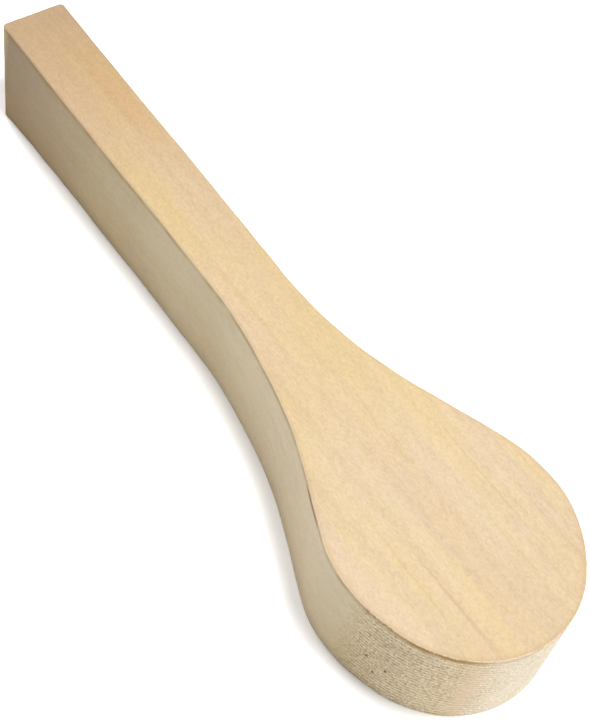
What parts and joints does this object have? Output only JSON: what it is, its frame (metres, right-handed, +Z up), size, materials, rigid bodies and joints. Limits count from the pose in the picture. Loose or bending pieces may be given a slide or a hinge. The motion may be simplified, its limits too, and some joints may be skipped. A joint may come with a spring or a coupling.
{
  "type": "spoon carving blank",
  "caption": "Solid pale wood blank sawn to a spoon outline: narrow handle, hollow neck and wide rounded bowl end, ready for carving.",
  "frame": {"origin": "middle of the length and width, on the underside", "axes": "+X along the length towards the bowl end, +Z up through the thickness, +Y across"},
  "size_m": [0.2199, 0.06, 0.03],
  "materials": {
    "pale_wood": "bare, sanded faces and sawn sides"
  },
  "bodies": {
    "root": {"spoon_blank": "pale_wood"}
  },
  "joints": []
}
